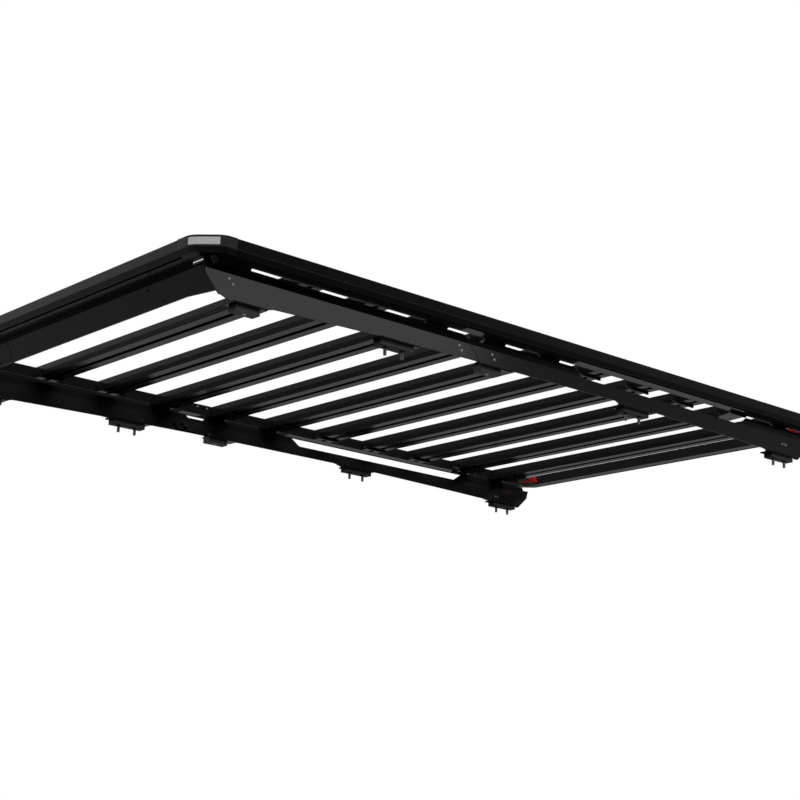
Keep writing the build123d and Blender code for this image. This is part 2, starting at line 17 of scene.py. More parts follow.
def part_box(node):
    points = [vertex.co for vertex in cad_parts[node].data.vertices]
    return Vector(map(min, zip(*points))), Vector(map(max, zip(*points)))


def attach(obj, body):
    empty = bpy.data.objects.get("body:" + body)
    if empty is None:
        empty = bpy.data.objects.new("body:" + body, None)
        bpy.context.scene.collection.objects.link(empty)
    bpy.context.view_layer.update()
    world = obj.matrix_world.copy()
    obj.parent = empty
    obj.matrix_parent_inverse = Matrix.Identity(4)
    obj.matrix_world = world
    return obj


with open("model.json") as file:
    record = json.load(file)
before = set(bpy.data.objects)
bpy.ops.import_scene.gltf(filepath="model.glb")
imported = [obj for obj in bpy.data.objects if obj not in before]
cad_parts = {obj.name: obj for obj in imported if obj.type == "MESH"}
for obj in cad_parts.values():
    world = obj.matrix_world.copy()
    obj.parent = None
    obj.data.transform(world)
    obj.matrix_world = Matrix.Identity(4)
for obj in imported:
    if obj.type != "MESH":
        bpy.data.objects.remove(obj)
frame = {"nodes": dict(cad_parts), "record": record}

LOG = logging.getLogger("roof_rack")
BODY = "root"
MM = 0.001

Pair = tuple[float, float]
Point = tuple[float, float, float]

# Where the CAD has what the fittings sit on.
TRAY_Z = 120.3          # underside of slats and profiles
SHEET_MM = 3.0          # thickness of the rails
RAIL_FACE_Y = 601.5     # outer face of a rail above its fold
RAIL_DROP = 8.2         # gap between the tray and the top of a rail
RAIL_FOLD_Z = 91.3      # below this a rail leans inwards
RAIL_LEAN = 8.5 / 37
SPLICE_STEP = 3.3       # thickness of the plate behind a rail's joint, with its clearance

# Settings that all finishes share.
CLOUDS_PER_METRE = 6.0              # colour patches of about 170 mm
CLOUD_DETAIL, GRAIN_DETAIL = 3.0, 2.0
EDGE_SAMPLES = 8
# Edge colour rises where the rounded normal turns from the sharp one: partly wear, partly a
# painted highlight along each edge.
WEAR_AND_HIGHLIGHT_STARTS, WEAR_AND_HIGHLIGHT_ENDS = 0.995, 0.8  # cosine between the sharp and the rounded normal
WEAR_AND_HIGHLIGHT_SHARE = 0.6
GRAIN_LOW, GRAIN_HIGH = 0.3, 0.7     # span of the noise that the roughness follows
ROUGHNESS_SPREAD = 0.04
BUMP_STRENGTH = 0.5
COLOUR_A, COLOUR_B, COLOUR_OUT = 6, 7, 2  # sockets of a Mix node that mixes colours
SMOOTH_BELOW_DEG = 35.0


class Side(Enum):
    """Side of the vehicle, as the sign of Y."""

    LEFT = -1
    RIGHT = 1

    @property
    def word(self) -> str:
        """Name used in the nodes."""
        return self.name.lower()

    def span(self, inner: float, outer: float) -> Pair:
        """Give the lower and the upper Y of a strip along this side.

        Args:
            inner: Distance of its inner edge from the middle of the rack.
            outer: Distance of its outer edge.

        Returns:
            The two values of Y, the lower first.
        """
        low, high = sorted((self.value * inner, self.value * outer))
        return low, high


def linear(hex_code: str) -> tuple[float, float, float, float]:
    """Turn an sRGB hex colour into linear light.

    Args:
        hex_code: Six hex digits, such as "1a1a1c".

    Returns:
        Linear red, green, blue and an alpha of 1.
    """
    channels = [int(hex_code[at:at + 2], 16) / 255 for at in (0, 2, 4)]
    light = [c / 12.92 if c <= 0.04045 else ((c + 0.055) / 1.055) ** 2.4 for c in channels]
    return (light[0], light[1], light[2], 1.0)


def add_node(tree: bpy.types.NodeTree, kind: str, values: dict | None = None,
             links: dict | None = None, **settings) -> bpy.types.Node:
    """Add a shader node with its settings, socket values and incoming links.

    Args:
        tree: Node tree that gets the node.
        kind: Type of the node, such as "ShaderNodeBump".
        values: Input socket name or number to its value.
        links: Input socket name or number to the output socket that feeds it.
        settings: Properties of the node itself.

    Returns:
        The new node.
    """
    node = tree.nodes.new(kind)
    for name, value in settings.items():
        setattr(node, name, value)
    for socket, value in (values or {}).items():
        node.inputs[socket].default_value = value
    for socket, source in (links or {}).items():
        tree.links.new(source, node.inputs[socket])
    return node


@dataclass(frozen=True)
class Finish:
    """A surface with cloudy colour, fine grain and edges lightened by wear and by a painted
    highlight.

    Attributes:
        name: Material name: the real material and how it was made.
        slot: Material slot of the record. Not used.
        dark: Colour of the darker patches, sRGB hex.
        light: Colour of the lighter patches, sRGB hex.
        edge: Colour at the edges, sRGB hex: partly wear, partly a painted highlight.
        metallic: 0 for coats, rubber and plastics, 1 for bare metal.
        roughness: Mean roughness.
        specular: Specular level of the shader, 0.5 for an IOR of 1.5.
        grain_mm: Size of the surface grain. The grain of a real coat is well under 1 mm and
            would not show from this far, so it is drawn this coarse.
        grain_depth_mm: Height of the grain in the bump.
        edge_mm: Radius that edges look rounded to.
    """

    name: str
    slot: str
    dark: str
    light: str
    edge: str
    metallic: float = 0.0
    roughness: float = 0.45
    specular: float = 0.5
    grain_mm: float = 2.0
    grain_depth_mm: float = 0.02
    edge_mm: float = 0.8

    def material(self) -> bpy.types.Material:
        """Build the node material.

        Returns:
            The finished material.
        """
        made = bpy.data.materials.new(self.name)
        made.use_nodes = True
        tree = made.node_tree
        tree.nodes.clear()
        place = add_node(tree, "ShaderNodeTexCoord").outputs["Object"]
        clouds = add_node(tree, "ShaderNodeTexNoise",
                          {"Scale": CLOUDS_PER_METRE, "Detail": CLOUD_DETAIL}, {"Vector": place})
        grain = add_node(tree, "ShaderNodeTexNoise",
                         {"Scale": 1 / (self.grain_mm * MM), "Detail": GRAIN_DETAIL},
                         {"Vector": place})
        colour = add_node(tree, "ShaderNodeMix",
                          {COLOUR_A: linear(self.dark), COLOUR_B: linear(self.light)},
                          {0: clouds.outputs["Fac"]}, data_type="RGBA")
        rounded = add_node(tree, "ShaderNodeBevel", {"Radius": self.edge_mm * MM},
                           samples=EDGE_SAMPLES)
        sharp = add_node(tree, "ShaderNodeNewGeometry")
        facing = add_node(tree, "ShaderNodeVectorMath",
                          links={0: rounded.outputs[0], 1: sharp.outputs["Normal"]},
                          operation="DOT_PRODUCT")
        # Lighter colour at the edges: partly wear, partly painted highlight.
        worn_and_highlit = add_node(tree, "ShaderNodeMapRange",
                        {"From Min": WEAR_AND_HIGHLIGHT_STARTS, "From Max": WEAR_AND_HIGHLIGHT_ENDS,
                         "To Min": 0.0, "To Max": WEAR_AND_HIGHLIGHT_SHARE},
                        {"Value": facing.outputs["Value"]})
        shade = add_node(tree, "ShaderNodeMix", {COLOUR_B: linear(self.edge)},
                         {0: worn_and_highlit.outputs[0], COLOUR_A: colour.outputs[COLOUR_OUT]},
                         data_type="RGBA")
        rough = add_node(tree, "ShaderNodeMapRange",
                         {"From Min": GRAIN_LOW, "From Max": GRAIN_HIGH,
                          "To Min": self.roughness - ROUGHNESS_SPREAD,
                          "To Max": self.roughness + ROUGHNESS_SPREAD},
                         {"Value": grain.outputs["Fac"]})
        bump = add_node(tree, "ShaderNodeBump",
                        {"Strength": BUMP_STRENGTH, "Distance": self.grain_depth_mm * MM},
                        {"Height": grain.outputs["Fac"], "Normal": rounded.outputs[0]})
        shader = add_node(tree, "ShaderNodeBsdfPrincipled",
                          {"Metallic": self.metallic, "Specular IOR Level": self.specular},
                          {"Base Color": shade.outputs[COLOUR_OUT],
                           "Roughness": rough.outputs[0], "Normal": bump.outputs[0]})
        add_node(tree, "ShaderNodeOutputMaterial", links={"Surface": shader.outputs[0]})
        return made

    def shared(self) -> bpy.types.Material:
        """Give the one material of this finish, built at its first use.

        Returns:
            The material.
        """
        return bpy.data.materials.get(self.name) or self.material()


# Powder coat flows out to a smooth, glossy film over the drawn profiles: near black, with
# clear mirrored tones and a soft grey line at each edge, partly where the film thins and partly
# a painted highlight.
COAT = Finish("black_powder_coat_on_extruded_aluminium", "tray_black",
              "1c1c1d", "202022", "444446", roughness=0.15, edge_mm=2.5)
# The same coat on the castings, painted greyer for the lighter shading that they catch, and its
# gloss is spread wide.
CAST_PAINTED_LIGHTER = Finish("black_powder_coat_on_cast_aluminium", "tray_black",
              "343435", "3a3a3c", "4c4c4e", roughness=0.3, edge_mm=2.5)
# The coat on folded sheet: as glossy as on the profiles, with a tighter and darker edge line of
# wear and painted highlight.
SHEET = Finish("black_powder_coat_on_folded_steel", "sheet_black",
               "1a1a1b", "1e1e20", "323234", roughness=0.15)
# Moulded plastic of the pads: mid grey with a dull sheen.
PLASTIC = Finish("moulded_grey_plastic", "pad_rubber",
                 "4c4e50", "545658", "606263", roughness=0.4, edge_mm=0.5)
# Moulded rubber of the soles: black, and it mirrors nothing sharp.
RUBBER = Finish("moulded_black_rubber", "pad_rubber",
                "161617", "1a1a1b", "262627", roughness=0.5, grain_mm=1.0, edge_mm=0.5)
# Matt black strips and blocks of painted shade, under the tray beside each rail and over the
# rail's nose: they stay dark where the coat beside them shines.
SHADE_BLACK = Finish("cut_black_foam_tape", "pad_rubber",
              "0e0e0f", "121213", "161617", roughness=0.9, grain_mm=1.0, edge_mm=0.3)
# Anodised plate: an even, silvery white without the coat's dark mirror.
PLATE = Finish("satin_anodised_aluminium", "bare_plate",
               "f4f4f4", "fafafa", "ffffff", roughness=0.4)
# Bright zinc over turned steel: small light spots on the black sheet.
ZINC = Finish("zinc_plated_turned_steel", "bare_plate",
              "dcdee0", "e8eaec", "f4f6f8", metallic=1.0, roughness=0.4,
              grain_mm=0.6, grain_depth_mm=0.01, edge_mm=0.2)
# Black zinc on nuts and washers: dark with a soft shine, so that they sit back.
BLACK_ZINC = Finish("black_zinc_plated_steel", "sheet_black",
                    "161617", "1c1c1e", "38383a", roughness=0.3, edge_mm=0.3)
# Red plastic right through: a flat, strong colour with little shine.
RED = Finish("red_moulded_plastic", "tab_red",
             "a80002", "b40003", "cc080a", roughness=0.6, specular=0.25)


@dataclass
class Camera:
    """Camera at the photo's viewing angle, below and in front of the left corner.

    Attributes:
        place: Where it stands.
        right: Direction of the picture's right side.
        down: Direction of its lower side, near square to the right side.
        focal_length: Focal length of the lens.
        shift: Shift of the lens, as shares of the picture's width.
        far_end: How far it sees, in metres.
    """

    place: Point = (-3036.6, -3376.0, -1065.2)
    right: Point = (0.7416, -0.6704, 0.0245)
    down: Point = (0.1866, 0.1710, -0.9674)
    focal_length: float = 73.17
    shift: Pair = (-0.000625, 0.000625)
    far_end: float = 50.0

    def build(self) -> None:
        """Create the camera and make it the scene's own."""
        right = Vector(self.right).normalized()
        down = Vector(self.down)
        down = (down - right * down.dot(right)).normalized()
        forward = right.cross(down)
        turn = Matrix((right, -down, -forward)).transposed()
        data = bpy.data.cameras.new("camera")
        data.lens = self.focal_length
        data.shift_x, data.shift_y = self.shift
        data.clip_end = self.far_end
        camera = bpy.data.objects.new("camera", data)
        camera.matrix_world = Matrix.Translation(Vector(self.place) * MM) @ turn.to_4x4()
        bpy.context.scene.collection.objects.link(camera)
        bpy.context.scene.camera = camera


@dataclass(frozen=True)
class Panel:
    """A soft lamp: a rectangle of even radiance that faces a point of the rack.

    Attributes:
        name: Name of the lamp.
        place: Where its centre hangs, in metres.
        aim: Point that it faces, in metres.
        width: Width in metres.
        height: Height in metres.
        radiance: Brightness of its face, 1 for white.
    """

    name: str
    place: Point
    aim: Point
    width: float
    height: float
    radiance: float

    def build(self) -> None:
        """Create the lamp."""
        data = bpy.data.lights.new(self.name, "AREA")
        data.shape = "RECTANGLE"
        data.size = self.width
        data.size_y = self.height
        data.energy = math.pi * self.width * self.height * self.radiance
        lamp = bpy.data.objects.new(self.name, data)
        lamp.location = self.place
        way = Vector(self.aim) - Vector(self.place)
        lamp.rotation_euler = way.to_track_quat("-Z", "Y").to_euler()
        bpy.context.scene.collection.objects.link(lamp)


@dataclass(frozen=True)
class Ramp:
    """Smooth step along one axis of a direction.

    Attributes:
        axis: Axis that is read, "X", "Y" or "Z".
        start: Where the step begins.
        end: Where it ends.
        low: Value before it.
        high: Value after it.
    """

    axis: str
    start: float
    end: float
    low: float = 0.0
    high: float = 1.0

    def socket(self, tree: bpy.types.NodeTree, way: bpy.types.Node) -> bpy.types.NodeSocket:
        """Add the step to a node tree.

        Args:
            tree: Node tree of the world.
            way: Node that splits the direction into its axes.

        Returns:
            The socket that holds the value.
        """
        step = add_node(tree, "ShaderNodeMapRange",
                        {"From Min": self.start, "From Max": self.end,
                         "To Min": self.low, "To Max": self.high},
                        {"Value": way.outputs[self.axis]}, interpolation_type="SMOOTHSTEP")
        return step.outputs[0]


@dataclass(frozen=True)
class Wall:
    """Part of the room: its brightness times the product of its ramps.

    Attributes:
        level: Brightness where all ramps are at 1.
        ramps: Steps that bound and grade it by direction.
    """

    level: float
    ramps: tuple[Ramp, ...]

    def socket(self, tree: bpy.types.NodeTree, way: bpy.types.Node) -> bpy.types.NodeSocket:
        """Add the wall to a node tree.

        Args:
            tree: Node tree of the world.
            way: Node that splits the direction into its axes.

        Returns:
            The socket that holds the wall's brightness in a direction.
        """
        product = self.ramps[0].socket(tree, way)
        for ramp in self.ramps[1:]:
            factors = {0: product, 1: ramp.socket(tree, way)}
            product = add_node(tree, "ShaderNodeMath", links=factors,
                               operation="MULTIPLY").outputs[0]
        scaled = add_node(tree, "ShaderNodeMath", {1: self.level}, {0: product},
                          operation="MULTIPLY")
        return scaled.outputs[0]


# What faces that look forwards mirror: a pale ceiling, brightest high up and to the right,
# that ends on the left.
CEILING = Wall(0.42, (Ramp("Z", 0.195, 0.285, 0.17, 1.0), Ramp("Z", -0.05, 0.05),
                      Ramp("Y", 0.5, 0.9, 0.5, 1.0), Ramp("Y", -0.4, 0.2),
                      Ramp("X", -0.57, -0.46, 0.7, 1.0)))
# What undersides mirror: a grey ground, lighter to the right and the rear.
GROUND = Wall(0.2, (Ramp("Z", -0.08, -0.22), Ramp("Y", -0.75, 0.5),
                    Ramp("X", -0.9, 1.4, 0.8, 1.35)))
# What upright faces of the left side mirror: a faint patch behind on the left.
REAR_LEFT = Wall(0.1, (Ramp("X", 0.6, 0.76), Ramp("Y", -0.3, -0.5), Ramp("Z", 0.12, 0.2)))
# What the leaning part of the left rail mirrors: a low strip at eye level on the left.
LEFT_HORIZON = Wall(0.2, (Ramp("Z", -0.14, -0.06), Ramp("Z", 0.16, 0.06),
                          Ramp("Y", -0.3, -0.5)))
# Soft light from above for matt surfaces, a little stronger from the left.
SKY = Wall(1.7, (Ramp("Z", 0.3, 0.75), Ramp("Y", -0.6, 0.6, 1.3, 0.7)))


@dataclass
class Studio:
    """White background, pale floor, soft lamps and the graded walls that gloss mirrors.

    Attributes:
        sky: What lights matt surfaces.
        walls: What glossy surfaces mirror.
        floor_size: Edge of the square floor in metres.
        floor_drop: How far the floor lies under the stud tips, in metres.
        floor_grey: Linear reflectance of its paint.
        panels: The lamps.
    """

    sky: Wall = SKY
    walls: tuple[Wall, ...] = (CEILING, GROUND, LEFT_HORIZON, REAR_LEFT)
    floor_size: float = 14.0
    floor_drop: float = 0.0005
    floor_grey: float = 0.8
    panels: tuple[Panel, ...] = (
        Panel("left_panel", (0.95, -2.9, 0.0), (0.95, 0.0, 0.0), 1.7, 0.6, 0.9),
        Panel("top_panel", (-0.6, 0.2, 3.4), (0.0, 0.0, 0.1), 3.0, 3.0, 1.0),
    )

    def world(self) -> None:
        """White to the camera, soft sky for matt surfaces, graded walls for glossy ones."""
        world = bpy.data.worlds.new("studio_white")
        bpy.context.scene.world = world
        world.use_nodes = True
        tree = world.node_tree
        tree.nodes.clear()
        path = add_node(tree, "ShaderNodeLightPath").outputs
        place = add_node(tree, "ShaderNodeTexCoord").outputs["Generated"]
        way = add_node(tree, "ShaderNodeSeparateXYZ", links={0: place})
        seen = add_node(tree, "ShaderNodeMath",
                        links={0: path["Is Camera Ray"], 1: path["Is Transmission Ray"]},
                        operation="MAXIMUM")
        mirrored = self.walls[0].socket(tree, way)
        for wall in self.walls[1:]:
            mirrored = add_node(tree, "ShaderNodeMath",
                                links={0: mirrored, 1: wall.socket(tree, way)},
                                operation="ADD").outputs[0]
        matt = self.sky.socket(tree, way)
        strength = add_node(tree, "ShaderNodeMix",
                            links={0: path["Is Glossy Ray"], 2: matt, 3: mirrored},
                            data_type="FLOAT")
        lighting = add_node(tree, "ShaderNodeBackground", {"Color": (1, 1, 1, 1)},
                            {"Strength": strength.outputs[0]})
        white = add_node(tree, "ShaderNodeBackground",
                         {"Color": (1, 1, 1, 1), "Strength": 1.0})
        both = add_node(tree, "ShaderNodeMixShader",
                        links={0: seen.outputs[0], 1: lighting.outputs[0],
                               2: white.outputs[0]})
        add_node(tree, "ShaderNodeOutputWorld", links={"Surface": both.outputs[0]})

    def floor(self) -> None:
        """Pale floor under the studs: it holds the shadow from above and is clear from below."""
        bpy.ops.mesh.primitive_plane_add(size=self.floor_size,
                                         location=(0, 0, -self.floor_drop))
        floor = bpy.context.object
        floor.name = "floor"
        made = bpy.data.materials.new("painted_studio_floor")
        made.use_nodes = True
        tree = made.node_tree
        tree.nodes.clear()
        path = add_node(tree, "ShaderNodeLightPath").outputs
        geometry = add_node(tree, "ShaderNodeNewGeometry")
        clear = geometry.outputs["Backfacing"]
        for kind in ("Is Shadow Ray", "Is Glossy Ray", "Is Diffuse Ray"):
            clear = add_node(tree, "ShaderNodeMath", links={0: clear, 1: path[kind]},
                             operation="MAXIMUM").outputs[0]
        grey = (self.floor_grey,) * 3 + (1,)
        paint = add_node(tree, "ShaderNodeBsdfDiffuse", {"Color": grey})
        through = add_node(tree, "ShaderNodeBsdfTransparent")
        both = add_node(tree, "ShaderNodeMixShader",
                        links={0: clear, 1: paint.outputs[0], 2: through.outputs[0]})
        add_node(tree, "ShaderNodeOutputMaterial", links={"Surface": both.outputs[0]})
        floor.data.materials.append(made)

    def build(self) -> None:
        """Set the background, the floor and the lamps."""
        bpy.context.scene.view_settings.view_transform = "Standard"
        self.world()
        self.floor()
        for panel in self.panels:
            panel.build()


class Head(Enum):
    """Form of a fastener's end: its rings, then its number of corners.

    A ring is a share of the radius and a share of the height.
    """

    DOME = (((1.0, 0.0), (0.98, 0.3), (0.85, 0.7), (0.6, 0.95), (0.3, 1.0), (0.26, 0.8)), 24)
    NUT = (((1.0, 0.0), (1.0, 0.62), (0.9, 0.7), (0.6, 0.7), (0.58, 0.95), (0.5, 1.0)), 6)
    COLLAR = (((1.0, 0.0), (1.0, 0.75), (0.92, 1.0), (0.62, 1.0)), 24)
    PIN = (((1.0, 0.0), (1.0, 0.78), (0.9, 0.9), (0.66, 0.97), (0.3, 1.0)), 16)
    WASHER = (((1.0, 0.0), (1.0, 0.8), (0.97, 1.0)), 24)
    CLIP = (((0.94, 0.0), (1.0, 0.25), (1.0, 0.75), (0.94, 1.0), (0.3, 1.0), (0.26, 0.5)), 4)


@dataclass(frozen=True)
class Turned:
    """Turned piece: a disc drawn out along its axis from ring to ring.

    Attributes:
        place: Centre of its foot.
        way: Direction of its axis, from the foot out.
        rings: Radius and height of each ring.
        corners: 4 for a square, 6 for a hexagon, more for round.
    """

    place: Point
    way: Point
    rings: tuple[Pair, ...]
    corners: int

    def build(self) -> bpy.types.Object:
        """Draw the disc out and set it in place.

        Returns:
            The piece, at the origin and unscaled.
        """
        first_radius, first_height = self.rings[0]
        bpy.ops.object.select_all(action="DESELECT")
        bpy.ops.mesh.primitive_circle_add(vertices=self.corners, radius=first_radius * MM,
                                          fill_type="NGON", location=(0, 0, first_height * MM))
        piece = bpy.context.object
        bpy.ops.object.mode_set(mode="EDIT")
        bpy.ops.mesh.select_all(action="SELECT")
        for (radius, height), (next_radius, next_height) in zip(self.rings, self.rings[1:]):
            rise = (0, 0, (next_height - height) * MM)
            bpy.ops.mesh.extrude_region_move(TRANSFORM_OT_translate={"value": rise})
            share = next_radius / radius
            bpy.ops.transform.resize(value=(share, share, 1),
                                     center_override=(0, 0, next_height * MM))
        bpy.ops.mesh.select_all(action="SELECT")
        bpy.ops.mesh.normals_make_consistent(inside=False)
        bpy.ops.object.mode_set(mode="OBJECT")
        piece.rotation_euler = Vector(self.way).to_track_quat("Z", "X").to_euler()
        piece.location = Vector(self.place) * MM
        bpy.ops.object.transform_apply(location=True, rotation=True, scale=True)
        return piece


def fastener(head: Head, place: Point, way: Point, size: Pair) -> Turned:
    """Make a fastener's end of a given size.

    Args:
        head: Its form.
        place: Centre of its foot.
        way: Direction that it points.
        size: Its radius, to the corners of a nut, and its height.

    Returns:
        The turned piece.
    """
    rings, corners = head.value
    radius, height = size
    return Turned(place, way, tuple((radius * share, height * rise) for share, rise in rings),
                  corners)


@dataclass(frozen=True)
class Bar:
    """Bar or flat strip with softly broken edges.

    Attributes:
        low: Lowest corner.
        high: Highest corner.
        bevel: Width of the broken edges.
    """

    low: Point
    high: Point
    bevel: float = 0.4

    def build(self) -> bpy.types.Object:
        """Make the bar in place.

        Returns:
            The piece, at the origin and unscaled.
        """
        low, high = Vector(self.low), Vector(self.high)
        bpy.ops.object.select_all(action="DESELECT")
        bpy.ops.mesh.primitive_cube_add(size=1.0, location=(low + high) / 2 * MM)
        piece = bpy.context.object
        piece.scale = (high - low) * MM
        bpy.ops.object.transform_apply(location=True, rotation=True, scale=True)
        bpy.ops.object.mode_set(mode="EDIT")
        bpy.ops.mesh.select_all(action="SELECT")
        bpy.ops.mesh.bevel(offset=self.bevel * MM, segments=2)
        bpy.ops.object.mode_set(mode="OBJECT")
        return piece


def join(name: str, parts: list[Turned | Bar], finish: Finish) -> None:
    """Build like parts, join them and hand the piece to the frame.

    Args:
        name: Name of the joined piece.
        parts: What it is made of.
        finish: Its finish.
    """
    made = [part.build() for part in parts]
    bpy.ops.object.select_all(action="DESELECT")
    for piece in made:
        piece.select_set(True)
    bpy.context.view_layer.objects.active = made[0]
    if len(made) > 1:
        bpy.ops.object.join()
    piece = bpy.context.view_layer.objects.active
    bpy.ops.object.shade_smooth_by_angle(angle=math.radians(SMOOTH_BELOW_DEG))
    piece.name = piece.data.name = name
    piece.data.materials.clear()
    piece.data.materials.append(finish.shared())
    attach(piece, BODY)
    LOG.info("%s: %d parts, %d faces", name, len(parts), len(piece.data.polygons))


@dataclass(frozen=True)
class RailFace:
    """The face of a foot rail, where bolts stand square to its leaning lower part.

    Attributes:
        side: Side of the rail.
    """

    side: Side

    def spot(self, x: float, z: float, inwards: float = 0.0) -> Point:
        """Give a point on the face, or that far inside it.

        Args:
            x: Place along the rail.
            z: Height.
            inwards: Distance towards the middle of the rack.

        Returns:
            The point.
        """
        reach = RAIL_FACE_Y - RAIL_LEAN * max(0.0, RAIL_FOLD_Z - z) - inwards
        return (x, self.side.value * reach, z)

    def way(self, outwards: bool) -> Point:
        """Give the direction square to the leaning part.

        Args:
            outwards: True for away from the rack.

        Returns:
            The direction.
        """
        sign = 1 if outwards else -1
        return (0.0, sign * self.side.value, -sign * RAIL_LEAN)


@dataclass(frozen=True)
class RailFittings:
    """Bolts of one rail, a painted shade strip over it and a painted shade block at its nose.

    Attributes:
        side: Side of the rail.
        bolt: Radius and height of the heads at joint and nose.
        heel_bolt: The same of the heads at the heel.
        heel_collar: The same of the collars behind them.
        nut: The same of the nuts at joint and nose.
        joint: X and Z of the bolts of the joint.
        nose: X and Z of the bolts at the front end.
        heel_out: X and Z of the bolts at the last foot whose heads are outside.
        heel_in: The same of those whose heads are inside.
        shade_strip_runs: Start and end of each matt black strip of painted shade under the
            profile, along X.
        shade_strip_edges: Distances of its edges from the middle of the rack.
        shade_strip_mm: Thickness that shows under the profile.
        shade_strip_sink: How far it reaches into the profile, and the width of its broken edges.
        shade_block_run: Start and end of the matt black block of painted shade in the gap over
            the rail's nose, along X.
        shade_block_back: How far the block reaches past the inside of the sheet.
        shade_block_front: How far it stands back from the outside.
        shade_block_slack: Gap between the block and the tray.
    """

    side: Side
    bolt: Pair = (5.0, 1.3)
    heel_bolt: Pair = (4.4, 1.2)
    heel_collar: Pair = (4.4, 1.4)
    nut: Pair = (6.5, 7.0)
    joint: tuple[Pair, ...] = ((-368.7, 81.2), (-357.6, 70.9), (-253.6, 81.3), (-242.5, 70.8))
    nose: tuple[Pair, ...] = ((-1070.5, 80.9), (-1058.1, 70.7))
    heel_out: tuple[Pair, ...] = ((984.6, 66.6), (994.5, 67.7), (1005.3, 65.6))
    heel_in: tuple[Pair, ...] = ((962.5, 57.5), (974.0, 58.5))
    shade_strip_runs: tuple[Pair, ...] = ((-1112.0, -367.0), (-297.0, 42.0), (778.0, 1100.0))
    shade_strip_edges: Pair = (600.5, 626.0)
    shade_strip_mm: float = 0.4
    shade_strip_sink: float = 0.1
    shade_block_run: Pair = (-1152.0, -1013.0)
    shade_block_back: float = 0.5
    shade_block_front: float = 0.3
    shade_block_slack: float = 0.1

    def bolts(self) -> list[Turned]:
        """Make the bright heads on both faces.

        Returns:
            The heads.
        """
        face = RailFace(self.side)
        out, back = face.way(True), face.way(False)
        heads = [fastener(Head.DOME, face.spot(x, z), out, self.bolt)
                 for x, z in self.joint + self.nose]
        heads += [fastener(Head.DOME, face.spot(x, z), out, self.heel_bolt)
                  for x, z in self.heel_out]
        heads += [fastener(Head.DOME, face.spot(x, z, SHEET_MM), back, self.heel_bolt)
                  for x, z in self.heel_in]
        return heads

    def nuts(self) -> list[Turned]:
        """Make the dark nuts and collars on the inner face.

        Returns:
            The nuts, then the collars.
        """
        face = RailFace(self.side)
        back = face.way(False)
        nuts = [fastener(Head.NUT, face.spot(x, z, SHEET_MM + SPLICE_STEP), back, self.nut)
                for x, z in self.joint]
        nuts += [fastener(Head.NUT, face.spot(x, z, SHEET_MM), back, self.nut)
                 for x, z in self.nose]
        nuts += [fastener(Head.COLLAR, face.spot(x, z, SHEET_MM), back, self.heel_collar)
                 for x, z in self.heel_out]
        return nuts

    def build(self) -> None:
        """Add the bolts, their nuts and the painted shade strips and block."""
        word = self.side.word
        join(f"{word}_rail_bolts", self.bolts(), ZINC)
        join(f"{word}_rail_nuts", self.nuts(), BLACK_ZINC)
        # Matt black strips under the profile: painted shade.
        y_low, y_high = self.side.span(*self.shade_strip_edges)
        shade_strips = [Bar((start, y_low, TRAY_Z - self.shade_strip_mm),
                     (end, y_high, TRAY_Z + self.shade_strip_sink), bevel=self.shade_strip_sink)
                 for start, end in self.shade_strip_runs]
        join(f"{word}_foam_tape", shade_strips, SHADE_BLACK)
        # A matt black block in the gap over the rail's nose: painted shade.
        y_low, y_high = self.side.span(RAIL_FACE_Y - SHEET_MM - self.shade_block_back,
                                       RAIL_FACE_Y - self.shade_block_front)
        start, end = self.shade_block_run
        shade_block = Bar((start, y_low, TRAY_Z - RAIL_DROP), (end, y_high, TRAY_Z - self.shade_block_slack))
        join(f"{word}_nose_seal", [shade_block], SHADE_BLACK)


